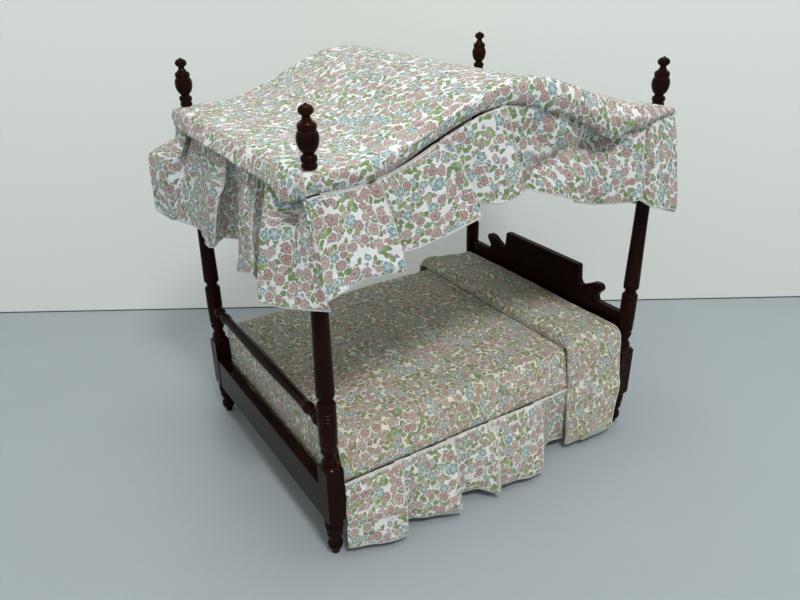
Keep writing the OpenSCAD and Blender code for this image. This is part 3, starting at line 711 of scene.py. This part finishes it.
# Where the left valance, else a mirrored one, meets the foot valance
LEFT_LAST_STOP = (90.5, 0, 103.5, 9, 121)
FOOT_STOPS = [
    (-70, 0.3, -76, 14.5, 120), (-47, 3.4, -63, 12, 116.5), (-51, -0.4, -61, 8.5, 116.7),
    (-33, 0.6, -37, 4.5, 118.5), (-10, 3.8, -15.5, 9, 117.5),
    (4, 4.2, -11, 8, 119), (2.5, 0.8, -20, 1, 119), (6, 0.4, -12, -3, 120),
    (17, 2, 0, -0.5, 123), (27, 3, 7, 0.5, 125), (27, 4, 17, 9.5, 118.5),
    (29, 3.8, 28, 6, 120.5), (30, 0.4, 24, 2.5, 113.5), (31, -0.6, 36, 0, 115),
    (31.5, -0.8, 40, -3, 117), (45, 3.8, 52, 14.5, 120), (60, -1, 63, 8, 121),
    (68, -0.5, 77, -2, 122.5)]
HEAD_STOPS = [
    (-68, 0, -77, 2, 122.5), (-52, 1, -57, 8.5, 119), (-54, -0.4, -60, 3, 120),
    (-35, 0.6, -38, 5, 119.5), (-17, 1.2, -21, 9.5, 117.5), (-19.5, -0.4, -25, 3, 119),
    (0, 0.6, 2, 5.5, 120), (18, 1, 15, 8, 118), (15.5, -0.4, 12, 3, 119),
    (34, 0.6, 36, 6, 118.5), (51, 1, 58, 9.5, 118), (48.5, -0.4, 54.5, 3, 119.5),
    (68, 0, 77, 2, 122.5)]
# How early each stop of the foot valance bows out, and how suddenly it juts out
FOOT_FALL = (3, *[1.7] * 12, 1.4, 1, 1.5, 1, 1.7)
FOOT_EAR = (0.85, 0.3, *[0] * 16)
FOOT_CREASES = [((-48, 163), (-56, 140), -2, 3), ((3, 163), (-1, 146), -2, 2.6),
                ((29, 163), (35, 126), -4, 5.5), ((59, 161), (58, 150), -3.5, 5),
                ((-22, 163), (-24, 148), -1.5, 3)]


def creased(spots, creases):
    """How far a sheet stands out along its creases."""
    out = np.zeros(spots.shape[:2])
    for start, end, height, width in creases:
        start, end = np.array(start) * MM, np.array(end) * MM
        way = end - start
        share = np.clip((spots - start) @ way / (way @ way), 0, 1)
        away = np.linalg.norm(spots - start - share[..., None] * way, axis=2)
        line = height * MM * np.clip(1 - away / (width * MM), 0, 1) ** 1.3
        out = np.where(abs(line) > abs(out), line, out)
    return out


def mirrored(stops):
    """The stops of the same sheet on the other side of the bed."""
    return [(-place, out, -hem, *rest) for place, out, hem, *rest in reversed(stops)]


def unevenness(places, down, fallen, seed):
    """How far hanging cloth strays from its folds: in lumps, gathers and curls at the hem."""
    spots = np.stack([places + 0 * down, fallen, 0 * fallen], axis=2)
    out = down * 1.3 * MM * lumps(spots, 21 * MM, seed)
    out = out + (0.35 + 0.65 * down) * MM * lumps(spots * (1, 0.45, 1), 8 * MM, seed + 5)
    out = out + 0.35 * MM * np.exp(-down * 5) * lumps(spots * (1, 0.2, 1), 3 * MM, seed + 9)
    curl = np.clip(down * 8 - 7, 0, 1) ** 2
    return out + 1.1 * MM * lumps(spots, 13 * MM, seed + 13) * curl


def rolled_in(along, out, fallen, radius):
    """The rows of a sheet, with those of its header's roll first."""
    turn = np.linspace(-math.pi / 2, math.pi / 2, 6)[:-1, None]
    return (np.concatenate([along[:1] + 0 * turn, along]),
            np.concatenate([out[:1] - radius * (1 - np.sin(turn)), out]),
            np.concatenate([radius * (1 - np.cos(turn)) + 0 * along[:1], fallen]))


def fold_highlights(stops, at, places, fallen, rolled):
    """How much painted highlight each point gets, along sharp folds and a rolled header's top."""
    turns = [at[k] for k in range(1, len(at) - 1) if stops[k + 1, 2] < stops[k, 2]]
    nearest = np.min([abs(places - turn) for turn in turns], axis=0)
    wear_and_glint = np.clip(1 - nearest / HIGHLIGHT_W, 0, 1) + 0 * fallen
    if not rolled:
        return wear_and_glint
    return np.maximum(wear_and_glint, ROLL_HIGHLIGHT * np.clip(1 - fallen / (rolled + 0.2 * MM), 0, 1))


def hanging(name, side, stops, face, header_height, body, seed, fall, ear=0.0, creases=(),
            rolled=0.0):
    """A pleated sheet hung along one side from its header, and its flat size. The larger fall
    is, the earlier it bows out; where ear is 1, it juts out below its header. Both may differ
    from stop to stop. rolled is the rounding of a rolled header."""
    stops = np.array(stops, float) * MM
    at = lengths(stops[:, 2:])
    places = np.linspace(0, at[-1], int(at[-1] / FOLD_STEP) + 1)
    fall, ear = (np.interp(places, at, np.broadcast_to(given, len(at))) for given in (fall, ear))
    header = softened(along_line(stops[:, :2], at, places), CREASE_R / 3, FOLD_STEP)
    hem = softened(along_line(stops[:, 2:], at, places), CREASE_R, FOLD_STEP)
    top = header_height(header[:, 0])
    drop = top - hem[:, 2]
    down = np.linspace(0, 1, int(drop.max() / FALL_STEP) + 1)[:, None]
    jut = ease((down - 0.12) / 0.24)
    bowed = 1 - (1 - down) ** fall
    along = header[:, 0] + (hem[:, 0] - header[:, 0]) * (down + (jut - down) * ear)
    out = header[:, 1] + (hem[:, 1] - header[:, 1]) * (bowed + (jut - bowed) * ear)
    fallen = down * drop
    out = out + unevenness(places, down, fallen, seed)
    out = out + creased(np.stack([along, top - fallen], axis=2), creases)
    if rolled:
        along, out, fallen = rolled_in(along, out, fallen, rolled)
    outward, across = (np.array((*way, 0.0)) for way in SIDES[side])
    points = outward * (face + out)[..., None] + across * along[..., None]
    points[..., 2] = top - fallen
    piece = cloth(name, points, flat_grid(places, lengths(points[:, 0])), body,
                  raw=fallen.max(axis=0) - fallen,
                  folds=fold_highlights(stops, at, places, fallen, rolled))
    return piece, (at[-1], drop.mean())


def valances():
    """One pleated sheet under the band on each side."""
    side_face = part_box("tester_side_right")[1].x
    end_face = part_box("tester_end_head")[1].y
    left_stops = mirrored(RIGHT_STOPS)
    left_stops[-1] = LEFT_LAST_STOP
    left_ear = (*[0] * (len(left_stops) - 1), 0.8)
    end_top = arch(end_face) - BAND_H + END_TUCK
    for side, stops, face, seed, header_height, ways in (
            ("right", RIGHT_STOPS, side_face, 2.0,
             lambda y: band_edge(y, True) + SIDE_TUCK + LOOSE_TUCK * roll(y),
             {"fall": 1.4, "creases": RIGHT_CREASES, "rolled": HEADER_R}),
            ("foot", FOOT_STOPS, end_face, 17.0, lambda x: end_top + 0 * x,
             {"fall": FOOT_FALL, "ear": FOOT_EAR, "creases": FOOT_CREASES}),
            ("left", left_stops, side_face, 31.0, lambda y: band_edge(-y, False) + SIDE_TUCK,
             {"fall": 1.7, "ear": left_ear, "rolled": HEADER_R}),
            ("head", HEAD_STOPS, end_face, 47.0, lambda x: end_top + 0 * x, {"fall": 1.7})):
        piece, size = hanging("valance_cloth_" + side, side, stops, face, header_height,
                              "canopy", seed, **ways)
        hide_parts("valance_" + side)


# ---- the bedding

SPREAD_STEP = 1.2 * MM  # spacing of the points of the laid sheets
SPREAD_SIDE_R = 6 * MM  # rounding of the bedspread over the long edges
SPREAD_FOOT_R = 4 * MM  # and over the foot edge
SPREAD_LEAN = math.radians(10)  # lean of its side drops
SPREAD_HEM = 35.5 * MM  # height of its side hems
POST_GAP = 0.6 * MM  # its clearance round the foot posts
DIP_Y = 44.5 * MM  # where it dips before the pillow cover
SKIRT_TOP = 36.2 * MM  # height of the skirts' upper edge
SKIRT_R = 0.8 * MM  # rounding of that edge

COVER_R = 4.4 * MM  # rounding of the pillow cover's front roll
COVER_SIDE_R = 6 * MM  # and over the long edges
COVER_LEAN = math.radians(8)  # lean of its side drops
COVER_FRONT = 47.2 * MM  # where its front roll begins
COVER_HEM = 4.3 * MM  # height of its drops' hem

# The stops of a skirt, like those of a valance
SKIRT_STOPS = [
    (-80.9, 1.2, -82.5, 3.2, 4), (-66, 1.2, -69, 8.5, 3.6), (-53, 1.5, -56.5, 12.5, 4.4),
    (-56.5, 0.8, -61, 5, 4.6), (-46, 1, -50.5, 4.5, 5), (-38, 1.1, -39, 9.5, 3.8),
    (-25, 1.5, -28, 13.5, 4.4), (-28.5, 0.8, -32, 5.5, 5), (-16, 1, -20, 4.3, 5),
    (-10, 1, -14, 7, 5.6), (-1, 1.5, -6.5, 14.5, 3.6), (-4.5, 0.8, -10, 8, 4.6),
    (6, 1.1, -1.5, 10.3, 4.4), (27, 1.5, 22, 12.5, 4.2), (23.5, 0.8, 17.5, 5, 5),
    (31, 1, 30, 1.5, 5.5), (37, 0.8, 37, -1, 6), (47, 0.6, 46.5, -0.6, 5.5)]
SKIRT_CREASES = [((-82, 17.5), (-57, 18.5), 1.2, 3), ((-82, 29.5), (-63, 32), 0.9, 3),
                 ((-48, 28), (-27, 30), 0.8, 3), ((-2, 27), (22, 24), 0.7, 3)]


def over_edge(reach, start, radius, lean):
    """The ways out and down and the turn of a cloth that turns over an edge at start and then
    falls with a lean, at points that are reach from its middle."""
    turned = radius * (math.pi / 2 - lean)
    turn = np.clip((reach - start) / radius, 0, math.pi / 2 - lean)
    rest = np.maximum(reach - start - turned, 0)
    out = np.minimum(reach, start) + radius * np.sin(turn) + rest * math.sin(lean)
    return out, radius * (1 - np.cos(turn)) + rest * math.cos(lean), turn


def reach_for(depth, start, radius, lean):
    """How far along such a cloth the point lies that is that far down."""
    turned = math.pi / 2 - lean
    left = depth - radius * (1 - math.cos(turned))
    return start + radius * turned + left / math.cos(lean)


def folded_in(points, s, start_x):
    """Makes the bedspread's dip and tucks in its side hems."""
    near = np.exp(-((points[..., 1] - DIP_Y) / (3 * MM)) ** 2)
    points[..., 2] -= 0.8 * MM * near * (abs(s) < start_x)
    tuck = 0.8 * MM * ease((SPREAD_HEM + 2.6 * MM - points[..., 2]) / (2 * MM))
    points[..., 0] -= np.sign(s) * tuck * (abs(s) > start_x)


def round_posts(points):
    """Which cells of the bedspread are cloth: not the foot posts' corners."""
    low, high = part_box("post_foot_right")
    beside = np.abs(points[..., 0]) > low.x - POST_GAP
    cut = beside & (points[..., 1] < high.y + POST_GAP)
    return ~cut[1:, 1:] & ~cut[:-1, :-1]


def bedspread():
    """One sheet over the mattress, with drops at its sides and foot."""
    low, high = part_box("bedspread")
    drop = high.z - SPREAD_HEM
    start_x = (high.x - SPREAD_SIDE_R * math.cos(SPREAD_LEAN)
               - (drop - SPREAD_SIDE_R) * math.tan(SPREAD_LEAN) - 0.4 * MM)
    start_y = -low.y - SPREAD_FOOT_R
    reach_x = reach_for(drop, start_x, SPREAD_SIDE_R, SPREAD_LEAN)
    reach_y = reach_for(high.z - low.z, start_y, SPREAD_FOOT_R, 0.0)
    s = np.linspace(-reach_x, reach_x, int(2 * reach_x / SPREAD_STEP) + 1)
    t = np.linspace(-high.y, reach_y, int((high.y + reach_y) / SPREAD_STEP) + 1)
    out_x, down_x, _ = over_edge(abs(s), start_x, SPREAD_SIDE_R, SPREAD_LEAN)
    out_y, down_y, _ = over_edge(t, start_y, SPREAD_FOOT_R, 0.0)
    points = np.zeros((len(t), len(s), 3))
    points[..., 0] = np.sign(s) * out_x
    points[..., 1] = -out_y[:, None]
    points[..., 2] = high.z - down_x - down_y[:, None]
    folded_in(points, s, start_x)
    flat = flat_grid(s, t)
    keep = round_posts(points)
    soft = lumps(points, 27 * MM, 4.4) * 0.45 + lumps(points, 10 * MM, 6.1) * 0.16
    points += normals_of(points) * soft[..., None] * MM
    piece = cloth("bedspread_cloth", points, flat, "bedding", keep, raw=NO_RAW_EDGE)
    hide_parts("bedspread")


def drop_folds(points):
    """How far the pillow cover's drops stand out at a pleat, at a seam and in curls at the hem."""
    y, height = points[..., 1], points[..., 2]
    side = ease((54 * MM - height) / (8 * MM))
    pleat_y = between(np.clip(height / MM, 3, 34), (3, 10, 24, 34), (53.5, 55, 59, 60.5)) * MM
    pleat = ease((y - pleat_y) / (0.9 * MM)) * ease((34 * MM - height) / (6 * MM))
    seam_and_shade_line = ease((34.3 * MM - height) / (0.8 * MM)) * ease((height - 22 * MM) / (10 * MM))
    seam_and_shade_line = seam_and_shade_line * ease((62 * MM - y) / (4 * MM))
    curl = lumps(points, 11 * MM, 20.0) * ease((10 * MM - height) / (7 * MM))
    return side * (1.3 * MM * pleat + 0.9 * MM * seam_and_shade_line) + 1.5 * MM * curl


def pillow_cover():
    """One sheet over the pillow, with a rounded front and a long drop at each side."""
    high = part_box("pillow_cover")[1]
    start_x = high.x - COVER_SIDE_R - 2 * MM
    reach_x = reach_for(high.z - COVER_HEM, start_x, COVER_SIDE_R, COVER_LEAN)
    s = np.linspace(-reach_x, reach_x, int(2 * reach_x / SPREAD_STEP) + 1)
    level = np.linspace(high.y, COVER_FRONT + COVER_R, int((high.y - COVER_FRONT) / SPREAD_STEP))

    # The front roll's rows follow the level ones
    turn = np.linspace(0, math.pi * 0.62, 11)[1:]
    toward = np.concatenate([0 * level, COVER_R * np.sin(turn)])
    inward = np.concatenate([0 * level, COVER_R * (1 - np.cos(turn))])
    y = np.concatenate([level, 0 * turn + level[-1]])[:, None]
    run = lengths(np.stack([0 * toward, y[:, 0] - toward, inward], axis=1))

    # At the sides the roll is thinner and further forward
    out, down, side_turn = over_edge(abs(s), start_x, COVER_SIDE_R, COVER_LEAN)
    bow = np.clip((abs(s) - start_x) / (reach_x - start_x), 0, 1)
    out = out - 2.6 * MM * bow ** 2
    sideways = side_turn / (math.pi / 2)
    inward = inward[:, None] * (1 - 0.72 * sideways)
    forward = 4.1 * MM * sideways * ease((level[0] - y) / (level[0] - level[-1]))
    points = np.zeros((len(run), len(s), 3))
    points[..., 0] = np.sign(s) * (out - inward * np.sin(side_turn))
    points[..., 1] = y - toward[:, None] * (1 - 0.4 * sideways) - forward
    points[..., 2] = high.z - down - inward * np.cos(side_turn)

    # It is plump in front, and sinks and swings forward behind
    points[..., 2] += 1.9 * MM * np.exp(-((y - 51 * MM) / (7 * MM)) ** 2) * (1 - bow)
    back = ease((y - 60 * MM) / (21 * MM))
    points[..., 2] -= 0.9 * MM * back * (1 - bow)
    points[..., 1] -= 4.6 * MM * back * ease((40 * MM - points[..., 2]) / (36 * MM))
    soft = lumps(points, 16 * MM, 2.7) * 0.7 + lumps(points, 7 * MM, 9.9) * 0.22
    points += normals_of(points) * (soft * MM + drop_folds(points))[..., None]
    piece = cloth("pillow_cover_cloth", points, flat_grid(s, run), "bedding")
    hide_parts("pillow_cover")


def skirts():
    """One box-pleated sheet along each side."""
    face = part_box("bedspread")[1].x
    for side, stops, creases, seed in (
            ("right", SKIRT_STOPS, SKIRT_CREASES, 61.0),
            ("left", mirrored(SKIRT_STOPS), (), 77.0)):
        piece, size = hanging("skirt_cloth_" + side, side, stops, face,
                              lambda along: SKIRT_TOP + 0 * along, "bedding", seed,
                              fall=1.35, creases=creases, rolled=SKIRT_R)
        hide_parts("skirt_" + side)


BLOWN_SCALE = 4  # how much larger a pad is blown up
BLOWN_FRAMES = 20


def coordinates(mesh):
    """The places of a mesh's points."""
    return np.array([v.co for v in mesh.vertices])


def settle(piece):
    """Applies a piece's modifiers to its mesh."""
    graph = bpy.context.evaluated_depsgraph_get()
    mesh = bpy.data.meshes.new_from_object(piece.evaluated_get(graph))
    piece.modifiers.clear()
    piece.data = mesh


def block(middle, size, corner, voxel):
    """A block with rounded edges, in an even mesh."""
    bpy.ops.mesh.primitive_cube_add(size=1)
    piece = bpy.context.object
    piece.data.transform(Matrix.Translation(middle) @ Matrix.Diagonal((*size, 1)))
    bevel = piece.modifiers.new("corner", "BEVEL")
    bevel.width = corner
    bevel.segments = 4
    remesh = piece.modifiers.new("even", "REMESH")
    remesh.mode = "VOXEL"
    remesh.voxel_size = voxel
    settle(piece)
    return piece


def blown(piece, swell):
    """A closed mesh's points once it is blown up as cloth, each moved by no more than swell.
    Cloth this small barely moves, so it is blown up several times larger."""
    start = coordinates(piece.data)
    piece.data.transform(Matrix.Scale(BLOWN_SCALE, 4))
    settings = piece.modifiers.new("blown", "CLOTH").settings
    settings.use_pressure = True
    settings.uniform_pressure_force = 4
    settings.effector_weights.gravity = 0
    for number in range(1, BLOWN_FRAMES + 1):
        bpy.context.scene.frame_set(number)
    graph = bpy.context.evaluated_depsgraph_get()
    move = coordinates(piece.evaluated_get(graph).data) / BLOWN_SCALE - start
    far = np.linalg.norm(move, axis=1, keepdims=True)
    piece.modifiers.clear()
    bpy.context.scene.frame_set(1)
    return start + move * np.minimum(1, swell / np.maximum(far, 1e-9))


def pad(name, node, swell, corner, voxel, seed):
    low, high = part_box(node)
    size = high - low - Vector((2, 2, 2)) * swell
    piece = block((low + high) / 2, size, corner, voxel)
    piece.name = name
    points = blown(piece, 0.9 * swell)
    normals = np.array([v.normal for v in piece.data.vertices])
    points += normals * (0.12 * swell * lumps(points, 9 * MM, seed))[:, None]
    piece.data.vertices.foreach_set("co", points.astype(np.float32).ravel())
    finer = piece.modifiers.new("finer", "SUBSURF")
    finer.levels = finer.render_levels = 1
    settle(piece)
    piece.data.shade_smooth()
    piece.data.materials.clear()
    piece.data.materials.append(ticking())
    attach(piece, "bedding")
    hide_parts(node)


# ---- the stage

STAGE = 6.0  # side of the floor and of the wall
WALL = srgb(234, 238, 233)
WALL_PLACE = (-0.118, 0.0675)  # a place at the wall's foot
WALL_TURN = math.radians(58.35)


def floor_look():
    """A pale floor, a little cloudy."""
    g = Graph("floor")
    where = g.node("TexCoord").outputs["Object"]
    wide = g.noise(where, 9.0, 3.0)
    fine = g.noise(where, 420.0, 2.0)
    colour = g.mix(wide, srgb(174, 182, 186), srgb(164, 172, 176))
    colour = g.mix(fine.ramp(0.5, 0.7) * 0.12, colour, srgb(156, 163, 168))
    return g.set(Base_Color=colour, Roughness=0.5, Specular_IOR_Level=0.25)


def wall_look():
    """A pale wall with painted shade in a thin dark line along its foot. To the camera and in
    reflections it partly glows, a painted light that grows brighter towards its top, and from
    behind it is clear."""
    g = Graph("wall")
    height = g.parts(g.node("TexCoord").outputs["Object"])[1]
    # Painted shade: a thin dark line along the wall's foot, where it meets the floor
    seam_and_shade_line = (height + STAGE / 2).ramp(0.0012, 0.0006)
    g.set(Base_Color=g.mix(seam_and_shade_line, WALL, srgb(70, 70, 66)), Roughness=0.9)
    ray = g.node("LightPath").outputs
    looked_at = g.number(ray["Is Camera Ray"]).most(ray["Is Glossy Ray"])
    looked_at = looked_at.most(ray["Is Transmission Ray"])
    # Painted light: to the camera and in reflections the wall partly glows, brighter towards its
    # top, except along its painted foot shade
    glow = g.node("Emission", {"Color": WALL, "Strength": height * 1.2 + 4.4}).outputs[0]
    share = looked_at * (seam_and_shade_line * -1 + 1) * 0.3
    lit = g.node("MixShader", {0: share, 1: g.shader.outputs[0], 2: glow}).outputs[0]
    from_behind = g.node("NewGeometry").outputs["Backfacing"]
    clear = g.node("BsdfTransparent").outputs[0]
    seen = g.node("MixShader", {0: from_behind, 1: lit, 2: clear}).outputs[0]
    g.tree.links.new(seen, g.tree.nodes["Material Output"].inputs["Surface"])
    return g.material


def plane(name, look):
    bpy.ops.mesh.primitive_plane_add(size=STAGE)
    made = bpy.context.object
    made.name = name
    made.data.materials.append(look)
    return made


def lamp(name, place, size, power):
    """A square lamp that shines at the bed's middle."""
    data = bpy.data.lights.new(name, "AREA")
    data.size = size
    data.energy = power
    made = bpy.data.objects.new(name, data)
    made.location = place
    made.rotation_mode = "QUATERNION"
    made.rotation_quaternion = (Vector(place) - Vector((0, 0, 0.09))).to_track_quat("Z", "Y")
    bpy.context.scene.collection.objects.link(made)


def stage_and_light():
    """A pale floor and wall, and light from above and from the right."""
    floor = plane("floor", floor_look())
    wall = plane("wall", wall_look())
    wall.matrix_world = (Matrix.Translation((*WALL_PLACE, STAGE / 2))
                         @ Matrix.Rotation(WALL_TURN, 4, "Z")
                         @ Matrix.Rotation(math.radians(90), 4, "X"))
    lamp("key", (0.64, -0.16, 1.0), size=0.18, power=5.3)
    lamp("ceiling", (-0.1, 0.1, 1.2), size=0.6, power=5.6)
    world = bpy.data.worlds.new("room")
    bpy.context.scene.world = world
    world.use_nodes = True
    background = world.node_tree.nodes["Background"].inputs
    background["Color"].default_value = srgb(234, 239, 238)
    background["Strength"].default_value = 0.56


# ---- the camera

CAMERA_PLACE = (0.27307, -0.18494, 0.23456)
CAMERA_ANGLES = (57.445, 26.340, -0.739)  # azimuth, elevation and roll, in degrees
LENS = 32.22  # focal length for the sensor, both in millimetres
SENSOR = 36.0


def camera():
    """The photograph's own place, direction and lens."""
    azimuth, elevation, turned = (math.radians(a) for a in CAMERA_ANGLES)
    data = bpy.data.cameras.new("camera")
    data.lens = LENS
    data.sensor_width = SENSOR
    data.clip_start = 0.01
    made = bpy.data.objects.new("camera", data)
    made.matrix_world = (Matrix.Translation(CAMERA_PLACE) @ Matrix.Rotation(azimuth, 4, "Z")
                         @ Matrix.Rotation(math.pi / 2 - elevation, 4, "X")
                         @ Matrix.Rotation(turned, 4, "Z"))
    bpy.context.scene.collection.objects.link(made)
    bpy.context.scene.camera = made


bpy.context.scene.view_settings.view_transform = "Standard"
camera()
stage_and_light()
dress_frame()
canopy_cover()
valances()
pad("mattress_pad", "mattress", swell=1.2 * MM, corner=4 * MM, voxel=2.6 * MM, seed=5.0)
pad("pillow_pad", "pillow", swell=0.4 * MM, corner=1.2 * MM, voxel=1.1 * MM, seed=8.0)
bedspread()
pillow_cover()
skirts()
